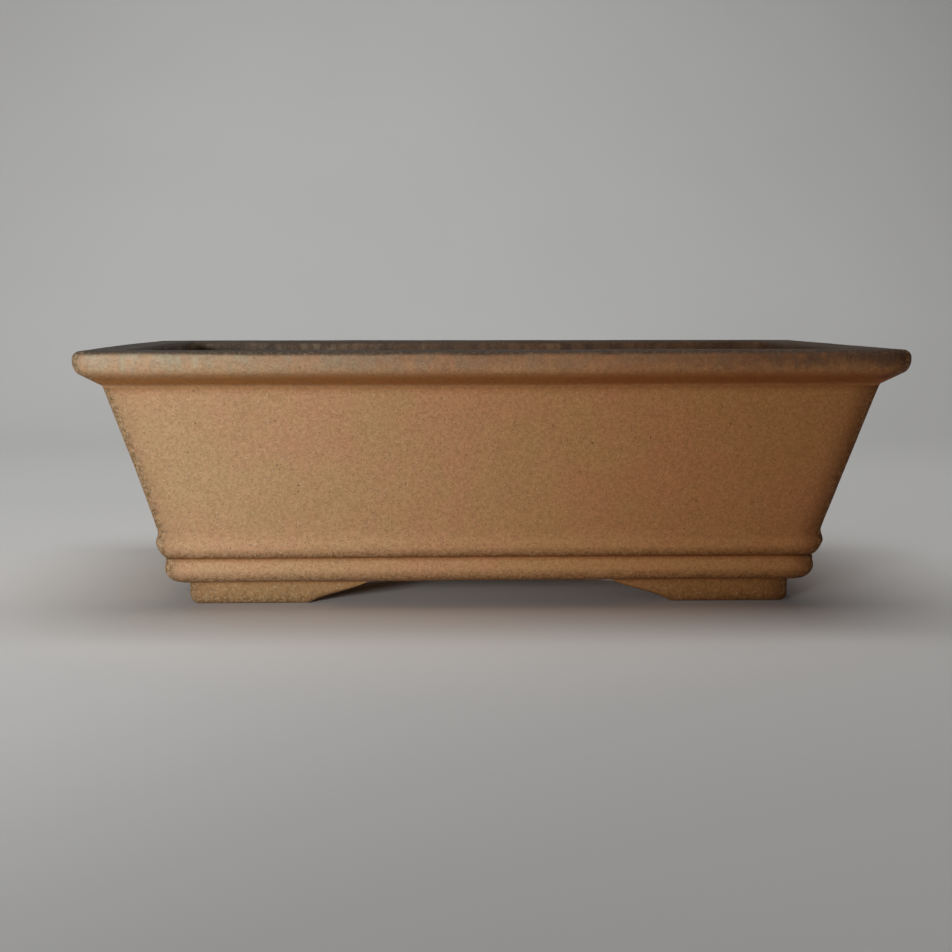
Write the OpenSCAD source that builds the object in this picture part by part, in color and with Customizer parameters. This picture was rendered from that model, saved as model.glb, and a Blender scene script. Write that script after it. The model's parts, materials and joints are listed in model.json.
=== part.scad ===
// Rectangular unglazed bonsai pot, slab-built: a floor slab, four flared walls, and mitred rim,
// bead and band strips luted round them, standing on four bracket feet with cloud-cut ends.
// Origin: centre of the footprint on the surface it stands on. +X along the length, -Y the front, +Z up.

/* [Overall size] */
// Length over the rim
pot_length = 300; // [260:5:400]
// Depth over the rim
pot_depth = 200; // [180:5:300]
// Height of the rim's top above the surface
pot_height = 97; // [90:0.5:130]

/* [Rim] */
// Width of the rim's flat top, from its outer edge to the inside of the pot
rim_width = 17.2; // [16:0.2:24]
// Height of the rim strip, from the top of the walls to the top of the rim
rim_height = 13.3; // [11.5:0.1:15]
// Rounding of the rim's corners in plan
rim_corner = 5; // [4:0.5:8]

/* [Walls] */
// Inset of the wall's outer face below the rim, from the rim's outer edge
wall_top_inset = 9.2; // [9:0.2:12]
// Inset of the wall's outer face at its foot, from the rim's outer edge
wall_foot_inset = 28.6; // [26:0.5:34]
// Depth of the wall's hollow flare below a straight line
wall_bow = 0.2; // [0:0.1:1.5]
// Thickness of the walls
wall_thickness = 8; // [7:0.5:10]
// Rounding of the outer corners in plan
body_corner = 3.4; // [2.5:0.2:5]
// Rounding of the inner corners in plan
inner_corner = 5; // [4:0.5:8]

/* [Floor] */
// Height of the floor's underside above the surface
foot_height = 9; // [8:0.2:14]
// Thickness of the floor slab
floor_thickness = 9.8; // [8:0.2:12]
// Diameter of each of the two drain holes
drain_d = 25; // [18:1:32]
// Distance between the two drain holes
drain_spacing = 114; // [90:2:130]
// Diameter of each of the four tie-wire holes
wire_d = 5; // [4:0.5:7]
// Distance between the wire holes along the length
wire_spacing_x = 180; // [150:2:184]
// Distance between the wire holes along the depth
wire_spacing_y = 84; // [60:2:88]

/* [Bead and band] */
// Height of the bead round the foot of the walls
bead_height = 10.7; // [10:0.2:14]
// How far the bead stands proud of the wall behind it
bead_proud = 2; // [1:0.05:2.5]
// Thickness of the band round the floor slab, more than its rounding
band_thickness = 6.4; // [6.2:0.2:8]
// Rounding under the band, measured across
band_round = 6; // [4:0.5:6]

/* [Feet] */
// Inset of the feet from the rim's outer edge
foot_inset = 35.8; // [35:0.2:38]
// Width of the bracket feet
foot_width = 13; // [10:0.5:15]
// Length of a front or back arm that stands on the surface
foot_front_flat = 45; // [30:1:50]
// Length of a side arm that stands on the surface
foot_side_flat = 21; // [16:1:24]
// Length of the cloud-cut end of a front or back arm
foot_front_curve = 23; // [16:1:26]
// Length of the cloud-cut end of a side arm
foot_side_curve = 18; // [12:1:20]
// Rounding round the feet's lower outer edge
foot_round = 3.2; // [1:0.2:4]

/* [Hidden] */

// Clay colours: body, the paler mouldings, the kiln-darkened rim and the feet
BODY_CLAY = [0.60, 0.41, 0.26];
MOULDING_CLAY = [0.66, 0.47, 0.31];
RIM_CLAY = [0.45, 0.31, 0.21];
FOOT_CLAY = [0.57, 0.38, 0.23];

// Levels
floor_top = foot_height + floor_thickness;
wall_top = pot_height - rim_height;
bead_top = floor_top + bead_height;

CORNER_STEPS = 6;      // facets in half of a rounded corner
ARC_STEPS = 6;         // facets in a moulding's rounded edge
CURVE_STEPS = 10;      // facets in a foot's cloud cut
MITRE = 45;            // angle at which two strips meet
HOLE_FACETS = 96;

// ---- Profiles ----
// A profile is a closed list of [inset, height, plan corner radius], where inset is measured inwards from
// the rim's outer edge. It runs down the outside, along the bottom, up the inside and back along the top.

// Inset of the wall's outer face at height z: a straight flare, hollowed by wall_bow at mid height
function wall_inset(z) =
    let (u = (z - floor_top) / (wall_top - floor_top))
    wall_foot_inset + (wall_top_inset - wall_foot_inset) * u + 4 * wall_bow * u * (1 - u);

// Points of an arc about [inset, height], from one angle to the other, with separate radii across and up
function arc(centre, rx, rz, from, to, corner, steps = ARC_STEPS) =
    [for (i = [0 : steps])
        let (a = from + (to - from) * i / steps)
        [centre[0] - rx * cos(a), centre[1] + rz * sin(a), corner]];

WALL_STEPS = 7;
BEAD_LEVELS = [for (i = [0 : 4]) bead_top - bead_height * i / 4];

wall_outer = concat(
    [for (i = [0 : WALL_STEPS - 1])
        let (z = wall_top + (bead_top - wall_top) * i / WALL_STEPS) [wall_inset(z), z, body_corner]],
    [for (z = BEAD_LEVELS) [wall_inset(z), z, body_corner]]);

wall_inner = [
    for (i = [0 : WALL_STEPS])
        let (z = floor_top + (wall_top - floor_top) * i / WALL_STEPS)
        [wall_inset(z) + wall_thickness, z, inner_corner]];

wall_profile = concat(wall_outer, wall_inner);

// The rim: a flat top, a rounded nose, an underside that slopes back, and a cove down to the wall
NOSE_TOP = 2.8;          // rounding over the nose
NOSE_UNDER = [3.6, 5.4]; // rounding under the nose, across and up
NOSE_LEVEL = 3.6;        // from the rim's top down to the widest level of the nose
COVE = [1.1, 1.1];       // the cove between the sloping underside and the wall, across and up
rim_inner_inset = wall_top_inset + wall_thickness;
rim_profile = concat(
    arc([NOSE_TOP, pot_height - NOSE_TOP], NOSE_TOP, NOSE_TOP, 90, 0, rim_corner),
    arc([NOSE_UNDER[0], pot_height - NOSE_LEVEL], NOSE_UNDER[0], NOSE_UNDER[1], 0, -58, rim_corner),
    [
        [wall_top_inset - COVE[0], wall_top + COVE[1], body_corner + 0.8],
        [wall_top_inset - COVE[0] * 0.4, wall_top + COVE[1] * 0.6, body_corner + 0.3],
        [wall_top_inset, wall_top, body_corner],
        [rim_inner_inset, wall_top, inner_corner]
    ],
    arc([rim_width - 2, pot_height - 2], -2, 2, 0, 90, inner_corner));

// The bead: it springs softly from the wall, swells to BEAD_PEAK of its height and rolls under to a groove
BEAD_PEAK = 0.5;
function bead_swell(t) = bead_proud
    * (t < BEAD_PEAK ? pow(sin(90 * t / BEAD_PEAK), 2) : sqrt(1 - pow((t - BEAD_PEAK) / (1 - BEAD_PEAK), 2)));
BEAD_STEPS = 10;
bead_profile = concat(
    [[wall_inset(bead_top), bead_top, body_corner]],
    [for (i = [1 : BEAD_STEPS - 1])
        let (t = i / BEAD_STEPS, z = bead_top - bead_height * t)
        [wall_inset(z) - bead_swell(t), z, body_corner]],
    [for (i = [len(BEAD_LEVELS) - 1 : -1 : 1])
        [wall_inset(BEAD_LEVELS[i]), BEAD_LEVELS[i], body_corner]]);

// The band: a crisp top edge, a face that swells slightly and a round underneath
band_outer_inset = wall_foot_inset - 0.9;
band_inner_inset = band_outer_inset + band_thickness;
BAND_EDGE = 0.7;       // rounding of the band's top edge
band_profile = concat(
    arc([band_outer_inset + BAND_EDGE + 0.25, floor_top - BAND_EDGE], BAND_EDGE, BAND_EDGE,
        90, 15, body_corner, 3),
    arc([band_outer_inset + band_round, foot_height + band_round], band_round, band_round,
        20, -90, body_corner),
    [
        [band_inner_inset, foot_height, body_corner],
        [band_inner_inset, floor_top, body_corner]
    ]);

// The foot: a bracket whose lower outer edge is rounded; its height follows the cloud cut at both ends
foot_profile = concat(
    [[foot_inset, foot_height, body_corner]],
    arc([foot_inset + foot_round, foot_round], foot_round, foot_round, 0, -90, body_corner),
    [
        [foot_inset + foot_width - 0.8, 0, body_corner],
        [foot_inset + foot_width, 0.8, body_corner],
        [foot_inset + foot_width, foot_height, body_corner]
    ]);

// ---- Sweeping a profile round the plan ----

// Where a profile point lies on a rounded corner: side is -1 for the left end and 1 for the right end
function corner_point(length, depth, side, angle, p) = [
    side * (length / 2 - p[0] - p[2] + p[2] * sin(angle)),
    -(depth / 2 - p[0] - p[2] + p[2] * cos(angle)),
    p[1]
];

// Faces of a sweep: n stations of m points each, closed by a cap at both ends. Each quad is split along the
// diagonal that two touching surfaces share, so that neighbours meet exactly.
function sweep_faces(n, m, z) = concat(
    [[for (j = [0 : m - 1]) j]],
    [[for (j = [m - 1 : -1 : 0]) (n - 1) * m + j]],
    [for (k = [0 : n - 2]) for (j = [0 : m - 1])
        let (
            next = (j + 1) % m,
            a = k * m + j, b = (k + 1) * m + j, c = (k + 1) * m + next, d = k * m + next
        )
        each (z[j] > z[next] ? [[a, b, c], [a, c, d]] : [[a, b, d], [b, c, d]])]);

function heights(profile) = [for (p = profile) p[1]];

// One strip along the front of a length x depth plan, mitred at both corners
module mitred_strip(length, depth, profile) {
    stations = concat(
        [for (i = [0 : CORNER_STEPS]) [-1, MITRE * (CORNER_STEPS - i) / CORNER_STEPS]],
        [for (i = [0 : CORNER_STEPS]) [1, MITRE * i / CORNER_STEPS]]);
    points = [for (s = stations) for (p = profile) corner_point(length, depth, s[0], s[1], p)];
    polyhedron(points, sweep_faces(len(stations), len(profile), heights(profile)));
}

module front_strip(profile) { mitred_strip(pot_length, pot_depth, profile); }
module back_strip(profile) { rotate(180) front_strip(profile); }
module right_strip(profile) { rotate(90) mitred_strip(pot_depth, pot_length, profile); }
module left_strip(profile) { rotate(180) right_strip(profile); }

// ---- Floor ----

// Rounded rectangle at an inset, with the same facets as the strips' corners
function plan_outline(inset, radius) = [
    for (quarter = [0 : 3]) for (i = [0 : 2 * CORNER_STEPS])
        let (
            sx = quarter < 1 || quarter > 2 ? 1 : -1,
            sy = quarter < 2 ? 1 : -1,
            a = 90 * quarter + MITRE * i / CORNER_STEPS
        )
        [sx * (pot_length / 2 - inset - radius) + radius * cos(a),
         sy * (pot_depth / 2 - inset - radius) + radius * sin(a)]];

module through_hole(x, y, diameter) {
    translate([x, y, foot_height - 1]) cylinder(d = diameter, h = floor_thickness + 2, $fn = HOLE_FACETS);
}

module floor_slab() {
    color(BODY_CLAY) difference() {
        translate([0, 0, foot_height])
            linear_extrude(floor_thickness) polygon(plan_outline(band_inner_inset, body_corner));
        for (sx = [-1, 1]) {
            through_hole(sx * drain_spacing / 2, 0, drain_d);
            for (sy = [-1, 1]) through_hole(sx * wire_spacing_x / 2, sy * wire_spacing_y / 2, wire_d);
        }
    }
}

// ---- Walls ----
module wall_front() { color(BODY_CLAY) front_strip(wall_profile); }
module wall_back() { color(BODY_CLAY) back_strip(wall_profile); }
module wall_left() { color(BODY_CLAY) left_strip(wall_profile); }
module wall_right() { color(BODY_CLAY) right_strip(wall_profile); }

// ---- Rim ----
module rim_front() { color(RIM_CLAY) front_strip(rim_profile); }
module rim_back() { color(RIM_CLAY) back_strip(rim_profile); }
module rim_left() { color(RIM_CLAY) left_strip(rim_profile); }
module rim_right() { color(RIM_CLAY) right_strip(rim_profile); }

// ---- Bead at the foot of the walls ----
module bead_front() { color(MOULDING_CLAY) front_strip(bead_profile); }
module bead_back() { color(MOULDING_CLAY) back_strip(bead_profile); }
module bead_left() { color(MOULDING_CLAY) left_strip(bead_profile); }
module bead_right() { color(MOULDING_CLAY) right_strip(bead_profile); }

// ---- Band round the floor slab ----
module band_front() { color(MOULDING_CLAY) front_strip(band_profile); }
module band_back() { color(MOULDING_CLAY) back_strip(band_profile); }
module band_left() { color(MOULDING_CLAY) left_strip(band_profile); }
module band_right() { color(MOULDING_CLAY) right_strip(band_profile); }

// ---- Feet ----

// The cloud cut: how much of the foot's full height remains at parameter t, with t 0 at the arm's tip,
// as a Bezier curve of [share of the cut's length, share of the height]
CLOUD = [[0, 0.06], [0.2, 0.45], [0.75, 0.6], [1, 1]];
function cloud(t) = pow(1 - t, 3) * CLOUD[0] + 3 * t * pow(1 - t, 2) * CLOUD[1]
    + 3 * t * t * (1 - t) * CLOUD[2] + pow(t, 3) * CLOUD[3];

// A point of the front right foot. A station is [run, place, height share]: along the front, round the
// corner, or along the side
function foot_point(station, p) =
    let (
        place = station[1],
        z = foot_height - (foot_height - p[1]) * station[2],
        corner = corner_point(pot_length, pot_depth, 1, place, p)
    )
    station[0] == "front" ? [place, -(pot_depth / 2 - p[0]), z]
    : station[0] == "side" ? [pot_length / 2 - p[0], place, z]
    : [corner[0], corner[1], z];

module bracket_foot() {
    outer_x = pot_length / 2 - foot_inset;
    outer_y = pot_depth / 2 - foot_inset;
    stations = concat(
        [for (i = [0 : CURVE_STEPS])
            let (c = cloud(i / CURVE_STEPS))
            ["front", outer_x - foot_front_flat - foot_front_curve * (1 - c[0]), c[1]]],
        [for (i = [0 : 2 * CORNER_STEPS]) ["corner", MITRE * i / CORNER_STEPS, 1]],
        [for (i = [CURVE_STEPS : -1 : 0])
            let (c = cloud(i / CURVE_STEPS))
            ["side", -(outer_y - foot_side_flat - foot_side_curve * (1 - c[0])), c[1]]]);
    points = [for (s = stations) for (p = foot_profile) foot_point(s, p)];
    polyhedron(points, sweep_faces(len(stations), len(foot_profile), heights(foot_profile)));
}

module foot_front_right() { color(FOOT_CLAY) bracket_foot(); }
module foot_front_left() { color(FOOT_CLAY) mirror([1, 0, 0]) bracket_foot(); }
module foot_back_right() { color(FOOT_CLAY) mirror([0, 1, 0]) bracket_foot(); }
module foot_back_left() { color(FOOT_CLAY) mirror([0, 1, 0]) mirror([1, 0, 0]) bracket_foot(); }

floor_slab();
wall_front();
wall_back();
wall_left();
wall_right();
rim_front();
rim_back();
rim_left();
rim_right();
bead_front();
bead_back();
bead_left();
bead_right();
band_front();
band_back();
band_left();
band_right();
foot_front_left();
foot_front_right();
foot_back_left();
foot_back_right();
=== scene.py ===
"""Looks of the rectangular unglazed bonsai pot: slab-built, with a kiln-flashed rim, in soft light.

Every clay piece stands for one CAD node and rides on the pot's only body. The strips are swept
round the plan as closed rings, warped as one body so that no mitre opens, and then cut apart at
their mitres.
"""

import json
import math

import bpy
import numpy as np
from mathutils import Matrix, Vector


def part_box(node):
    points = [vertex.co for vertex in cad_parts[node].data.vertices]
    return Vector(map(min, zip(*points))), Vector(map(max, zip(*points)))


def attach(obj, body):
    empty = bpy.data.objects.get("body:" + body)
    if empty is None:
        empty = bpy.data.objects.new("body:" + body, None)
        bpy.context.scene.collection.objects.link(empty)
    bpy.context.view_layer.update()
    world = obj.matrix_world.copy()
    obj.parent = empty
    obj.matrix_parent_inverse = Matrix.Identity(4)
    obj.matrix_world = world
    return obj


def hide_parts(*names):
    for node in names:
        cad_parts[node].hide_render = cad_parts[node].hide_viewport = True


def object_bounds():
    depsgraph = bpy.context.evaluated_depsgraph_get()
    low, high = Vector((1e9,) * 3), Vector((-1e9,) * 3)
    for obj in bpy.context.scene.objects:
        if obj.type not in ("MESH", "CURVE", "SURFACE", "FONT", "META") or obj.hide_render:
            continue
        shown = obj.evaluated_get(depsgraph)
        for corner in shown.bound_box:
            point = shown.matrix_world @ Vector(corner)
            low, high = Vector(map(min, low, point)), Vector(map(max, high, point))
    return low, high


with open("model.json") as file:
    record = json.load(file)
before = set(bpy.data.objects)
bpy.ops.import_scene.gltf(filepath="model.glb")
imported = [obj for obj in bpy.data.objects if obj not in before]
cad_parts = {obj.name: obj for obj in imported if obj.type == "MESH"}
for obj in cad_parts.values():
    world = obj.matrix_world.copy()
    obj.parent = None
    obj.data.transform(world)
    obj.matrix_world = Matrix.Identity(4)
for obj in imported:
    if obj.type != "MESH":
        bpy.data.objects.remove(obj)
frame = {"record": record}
CAD_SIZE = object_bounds()
MM = 0.001

# ---- Levels and insets from the frame. An inset is measured inwards from the rim's outer edge ----
HALF_X, HALF_Y, TOP = CAD_SIZE[1]
WALL_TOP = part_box("wall_front")[1].z
FLOOR_UNDER, FLOOR_TOP = (corner.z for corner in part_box("floor_slab"))
BEAD_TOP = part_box("bead_front")[1].z
WALL_TOP_INSET = HALF_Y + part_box("wall_front")[0].y
BAND_INSET = HALF_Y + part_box("band_front")[0].y
FOOT_INSET = HALF_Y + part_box("foot_front_left")[0].y
FLOOR_INSET = HALF_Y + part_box("floor_slab")[0].y
FOOT_REACH_X = -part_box("foot_front_left")[1].x
FOOT_REACH_Y = -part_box("foot_front_left")[1].y

BAND_PROUD = 0.9 * MM       # how far the band stands out from the foot of the wall
WALL_FOOT_INSET = BAND_INSET + BAND_PROUD
WALL_THICKNESS = 8 * MM
WALL_BOW = 0.2 * MM
BODY_CORNER = 3.4 * MM
INNER_CORNER = 5 * MM
RIM_CORNER = 5 * MM
RIM_WIDTH = 17.2 * MM
FOOT_WIDTH = 13 * MM
FILLET = 2 * MM             # clay smoothed into the angle between the walls and the floor

STEP = 1.25 * MM            # length of a facet along the strips and up the walls
CORNER_STEPS = 8            # facets in half of a rounded corner
SAME_PLACE = 0.02 * MM      # points of a profile that are closer than this are one
SHARP = math.radians(42)

# Hand-made unevenness: size of a wave and how far it moves the clay
WAVES = [(95 * MM, 0.42 * MM), (26 * MM, 0.16 * MM), (7 * MM, 0.07 * MM)]
WAVE_UP = 0.6               # share of a wave that also moves the clay up and down
GROUNDED = 4 * MM           # height below which the waves die out, so that the feet stand flat
LATTICE_SHIFT = 50          # keeps the pot clear of the noise lattice's origin
SEED = 41


# ---- Profiles: arrays of [inset, height, plan corner radius], down the outside, up the inside ----

def wall_inset(z):
    u = (z - FLOOR_TOP) / (WALL_TOP - FLOOR_TOP)
    return WALL_FOOT_INSET + (WALL_TOP_INSET - WALL_FOOT_INSET) * u + 4 * WALL_BOW * u * (1 - u)


def arc(inset, z, across, up, start, end, radius, steps=12):
    """Points of an ellipse about [inset, z]; 0 degrees faces outwards and 90 faces up."""
    a = np.radians(np.linspace(start, end, steps + 1))
    radii = np.full(steps + 1, radius)
    return np.column_stack([inset - across * np.cos(a), z + up * np.sin(a), radii])


def run(start, end, radius, step=STEP):
    """Points of a straight run, both ends included."""
    count = max(1, round(math.dist(start, end) / step))
    t = np.linspace(0, 1, count + 1)[:, None]
    points = np.array(start) * (1 - t) + np.array(end) * t
    return np.column_stack([points, np.full(count + 1, radius)])


def curve(function, start, end, radius, step):
    """Points of inset = function(z), between two heights."""
    z = np.linspace(start, end, max(2, round(abs(end - start) / step)) + 1)
    return np.column_stack([function(z), z, np.full(len(z), radius)])


def join(*parts):
    """One closed profile, without repeated points."""
    points = np.vstack(parts)
    return points[np.linalg.norm(points - np.roll(points, 1, axis=0), axis=1) > SAME_PLACE]


def wall_profile():
    inner = curve(lambda z: wall_inset(z) + WALL_THICKNESS, FLOOR_TOP + FILLET, WALL_TOP,
                  INNER_CORNER, STEP)
    fillet = arc(inner[0][0] + FILLET, FLOOR_TOP + FILLET, FILLET, FILLET, -90, 0, INNER_CORNER, 5)
    return join(
        curve(wall_inset, WALL_TOP, BEAD_TOP, BODY_CORNER, STEP),
        curve(wall_inset, BEAD_TOP, FLOOR_TOP, BODY_CORNER, 2 * STEP),
        fillet, inner)


NOSE_TOP = 2.8 * MM                     # rounding over the nose
NOSE_UNDER = (3.6 * MM, 5.4 * MM)       # rounding under the nose, across and up
NOSE_LEVEL = 3.6 * MM                   # from the rim's top to the widest level of the nose
NOSE_END = -58                          # degrees at which the rounding meets the underside
UNDERSIDE_STEP = 0.9 * MM
COVE = (1.1 * MM, 1.1 * MM)             # cove between the underside and the wall, across and up
COVE_BEND = (0.3, 0.75)                 # its control point, as shares of the cove
COVE_POINTS = 7
COVE_CORNER = 4.2 * MM                  # plan radius where the cove starts
RIM_INNER_ROUND = 2 * MM


def rim_underside(nose_end):
    """The sloping underside and the cove. The plan corners ease from the rim's to the body's."""
    start = (WALL_TOP_INSET - COVE[0], WALL_TOP + COVE[1])
    bend = (WALL_TOP_INSET - COVE[0] * COVE_BEND[0], WALL_TOP + COVE[1] * COVE_BEND[1])
    end = (WALL_TOP_INSET, WALL_TOP)
    t = np.linspace(0, 1, COVE_POINTS)[:, None]
    cove = (1 - t) ** 2 * start + 2 * t * (1 - t) * np.array(bend) + t * t * end
    cove = np.column_stack([cove, np.linspace(COVE_CORNER, BODY_CORNER, COVE_POINTS)])
    slope = run(nose_end, start, RIM_CORNER, UNDERSIDE_STEP)
    slope[:, 2] = np.linspace(RIM_CORNER, COVE_CORNER, len(slope))
    return slope, cove


def rim_profile():
    nose = arc(NOSE_UNDER[0], TOP - NOSE_LEVEL, *NOSE_UNDER, 0, NOSE_END, RIM_CORNER)
    inner, crown = WALL_TOP_INSET + WALL_THICKNESS, RIM_WIDTH - RIM_INNER_ROUND
    return join(
        arc(NOSE_TOP, TOP - NOSE_TOP, NOSE_TOP, NOSE_TOP, 90, 0, RIM_CORNER, 9),
        nose, *rim_underside(nose[-1][:2]),
        run((inner, WALL_TOP), (RIM_WIDTH, TOP - RIM_INNER_ROUND), INNER_CORNER),
        arc(crown, TOP - RIM_INNER_ROUND, -RIM_INNER_ROUND, RIM_INNER_ROUND,
            0, 90, INNER_CORNER, 7),
        run((crown, TOP), (NOSE_TOP, TOP), INNER_CORNER))


BEAD_PROUD = 2 * MM
BEAD_PEAK = 0.5             # share of the bead's height at which it is proudest
BEAD_STEP = 0.45 * MM


def bead_face(z):
    t = np.clip((BEAD_TOP - z) / (BEAD_TOP - FLOOR_TOP), 0, 1)
    spring = np.sin(np.pi / 2 * np.minimum(t / BEAD_PEAK, 1)) ** 2
    roll = np.sqrt(1 - np.clip((t - BEAD_PEAK) / (1 - BEAD_PEAK), 0, 1) ** 2)
    return wall_inset(z) - BEAD_PROUD * np.where(t < BEAD_PEAK, spring, roll)


def bead_profile():
    return join(
        curve(bead_face, BEAD_TOP, FLOOR_TOP, BODY_CORNER, BEAD_STEP),
        curve(wall_inset, FLOOR_TOP, BEAD_TOP, BODY_CORNER, 2 * STEP))


BAND_EDGE = 0.7 * MM        # rounding of the band's upper edge
BAND_LEAN = 0.25 * MM       # how far that edge leans back
BAND_ROUND = 6 * MM


def band_profile():
    return join(
        arc(BAND_INSET + BAND_EDGE + BAND_LEAN, FLOOR_TOP - BAND_EDGE, BAND_EDGE, BAND_EDGE,
            90, 15, BODY_CORNER, 5),
        arc(BAND_INSET + BAND_ROUND, FLOOR_UNDER + BAND_ROUND, BAND_ROUND, BAND_ROUND,
            20, -90, BODY_CORNER, 18),
        run((FLOOR_INSET, FLOOR_UNDER), (FLOOR_INSET, FLOOR_TOP), BODY_CORNER, 3 * STEP))


FOOT_ROUND = 3.2 * MM
FOOT_BACK_EDGE = 0.8 * MM   # bevel of the edge that nobody sees
FOOT_STEP = 0.8 * MM


def foot_profile():
    inner = FOOT_INSET + FOOT_WIDTH
    return join(
        run((FOOT_INSET, FLOOR_UNDER), (FOOT_INSET, FOOT_ROUND), BODY_CORNER, FOOT_STEP),
        arc(FOOT_INSET + FOOT_ROUND, FOOT_ROUND, FOOT_ROUND, FOOT_ROUND, 0, -90, BODY_CORNER, 8),
        run((FOOT_INSET + FOOT_ROUND, 0), (inner - FOOT_BACK_EDGE, 0), BODY_CORNER),
        run((inner, FOOT_BACK_EDGE), (inner, FLOOR_UNDER), BODY_CORNER))


# ---- Unevenness of the clay ----
LATTICE_PRIMES = np.array([73856093, 19349663, 83492791])
SEED_PRIME = 2654435761
MIXING_PRIME = 1274126177
LOW_BITS = 0xFFFF


def lattice_value(at, seed):
    """A random value from -1 to 1 for each whole-numbered point."""
    mixed = np.bitwise_xor.reduce(at * LATTICE_PRIMES, axis=1) ^ (seed * SEED_PRIME)
    mixed = (mixed ^ (mixed >> 13)) * MIXING_PRIME
    return ((mixed ^ (mixed >> 16)) & LOW_BITS) / (LOW_BITS / 2) - 1


def value_noise(points, seed):
    """Smooth noise from -1 to 1 at each point, on a lattice of unit cells."""
    cell = np.floor(points).astype(np.int64)
    part = points - cell
    part = part * part * (3 - 2 * part)
    total = np.zeros(len(points))
    for corner in np.ndindex(2, 2, 2):
        weight = np.prod(np.where(np.array(corner) == 1, part, 1 - part), axis=1)
        total += weight * lattice_value(cell + corner, seed)
    return total


def warp(points):
    """Moves points by the waves. A point of two touching pieces moves the same way in both."""
    moved = points.copy()
    grounded = np.clip(points[:, 2] / GROUNDED, 0, 1)
    for k, (size, reach) in enumerate(WAVES):
        for axis in range(3):
            wave = value_noise(points / size + LATTICE_SHIFT, SEED + 10 * k + axis)
            moved[:, axis] += reach * wave * grounded * (WAVE_UP if axis == 2 else 1)
    moved[:, 2] = np.clip(moved[:, 2], 0, TOP)
    limit = np.array([HALF_X, HALF_Y])
    moved[:, :2] = np.clip(moved[:, :2], -limit, limit)
    return moved


# ---- Marks that the clays read: painted shade in hollows, on corners and under mouldings, worn sand, flashing, the inside ----
SKIN, SKIN_FADE = 3 * MM, 2 * MM            # depth behind the outer face that counts as outside
CORNER_DEPTH = 5 * MM
COVE_SHADE_TOP, COVE_SHADE_FADE = 7 * MM, 3.6 * MM    # painted shade under the rim: upper end above the wall, and fade
COVE_SHADE_RISE, COVE_SHADE_LEAST = 1.5 * MM, 0.6     # the painted shade is fainter down to the wall's top
COVE_SHADE_DEPTH = 2 * MM
SHADE_BELOW_COVE, SHADE_BELOW_COVE_REACH = 0.7, 3.6 * MM      # painted shade fading from it down onto the wall
# Painted shade in the mouldings' grooves
GROOVE_SHADE, GROOVE_REACH = 0.85, 1.1 * MM
ARRIS_CORE, ARRIS_FADE = 1.5 * MM, 1.9 * MM
# Painted shade on the corners, fading away from the corner's diagonal
CORNER_SHADE_REACH = 7 * MM
BEAD_SAND, BAND_SAND = 3.9 * MM, 5.2 * MM   # height of the coarse sand and painted shade under each moulding
SAND_PLATEAU = 1.4                          # above 1 it keeps its full strength for a while
FOOT_SAND, SOLE_SAND, SOLE_REACH = 0.35, 0.8, 3 * MM
LIP_SAND, LIP_DROP, LIP_REACH, LIP_DEPTH = 0.5, 0.9 * MM, 0.7 * MM, 3 * MM
INSIDE_EDGE = 2.5 * MM                      # how far the inside reaches over the rim's inner edge
# Painted shade inside the pot: full to a little below the wall's top, then fading to its least
# share further down
INSIDE_SHADE_START, INSIDE_SHADE_REACH, INSIDE_SHADE_LEAST = 2 * MM, 24 * MM, 0.5
FLASH_START, FLASH_SPAN = WALL_TOP + 3 * MM, TOP - WALL_TOP - 4 * MM
TOP_START, TOP_SPAN = TOP - 2.3 * MM, 2 * MM
TOUCH = 0.01 * MM


def bump_at(value, centre, width):
    return np.exp(-((value - centre) / width) ** 2)


def fade_above(value, start, reach):
    return np.clip(1 - (value - start) / reach, 0, 1) * (value >= start - TOUCH)


def fade_below(value, start, reach):
    return np.clip(1 - (start - value) / reach, 0, 1) ** 2


def whereabouts(points):
    """Inset, height, distance from the corner's diagonal, and the outer face's inset there."""
    x, y, z = np.abs(points[:, 0]), np.abs(points[:, 1]), points[:, 2]
    inset = np.minimum(HALF_X - x, HALF_Y - y)
    skew = np.abs((HALF_X - x) - (HALF_Y - y))
    below = np.where(z < FLOOR_UNDER, FOOT_INSET, BAND_INSET)
    face = np.where(z > WALL_TOP, 0, np.where(z > FLOOR_TOP, wall_inset(z), below))
    return inset, z, skew, face


def hollow_mark(inset, z):
    """Painted shade in the cove under the rim, fading down onto the wall, and in the mouldings'
    grooves.
    """
    thin = np.clip((z - WALL_TOP) / COVE_SHADE_RISE, COVE_SHADE_LEAST, 1)
    underside = np.clip((WALL_TOP + COVE_SHADE_TOP - z) / COVE_SHADE_FADE, 0, 1) * thin
    shade_below_cove = SHADE_BELOW_COVE * fade_below(z, WALL_TOP, SHADE_BELOW_COVE_REACH)
    cove = np.where(z > WALL_TOP, underside, shade_below_cove) * (inset < WALL_TOP_INSET + COVE_SHADE_DEPTH)
    groove = np.maximum(bump_at(z, FLOOR_TOP, GROOVE_REACH), bump_at(z, FLOOR_UNDER, GROOVE_REACH))
    return np.maximum(cove, GROOVE_SHADE * groove)


def sand_and_shade_mark(inset, z):
    """Coarse sand on the feet, under the mouldings and on the rim's upper lip. The clays are also
    darkened by it, as painted shade.
    """
    rolled = np.where(z > FLOOR_TOP, fade_above(z, FLOOR_TOP, BEAD_SAND),
                      fade_above(z, FLOOR_UNDER, BAND_SAND))
    foot = np.clip(FOOT_SAND + SOLE_SAND * bump_at(z, 0, SOLE_REACH), 0, 1)
    lip = LIP_SAND * bump_at(z, TOP - LIP_DROP, LIP_REACH) * (inset < LIP_DEPTH)
    below_lip = np.where(z < FLOOR_UNDER, foot, np.minimum(SAND_PLATEAU * rolled, 1))
    return np.maximum(below_lip, lip)


def is_inside(inset, z, face):
    past_face = np.where(z > WALL_TOP, inset > RIM_WIDTH - INSIDE_EDGE, inset > face + CORNER_DEPTH)
    return past_face & (z > FLOOR_UNDER + MM)


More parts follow.
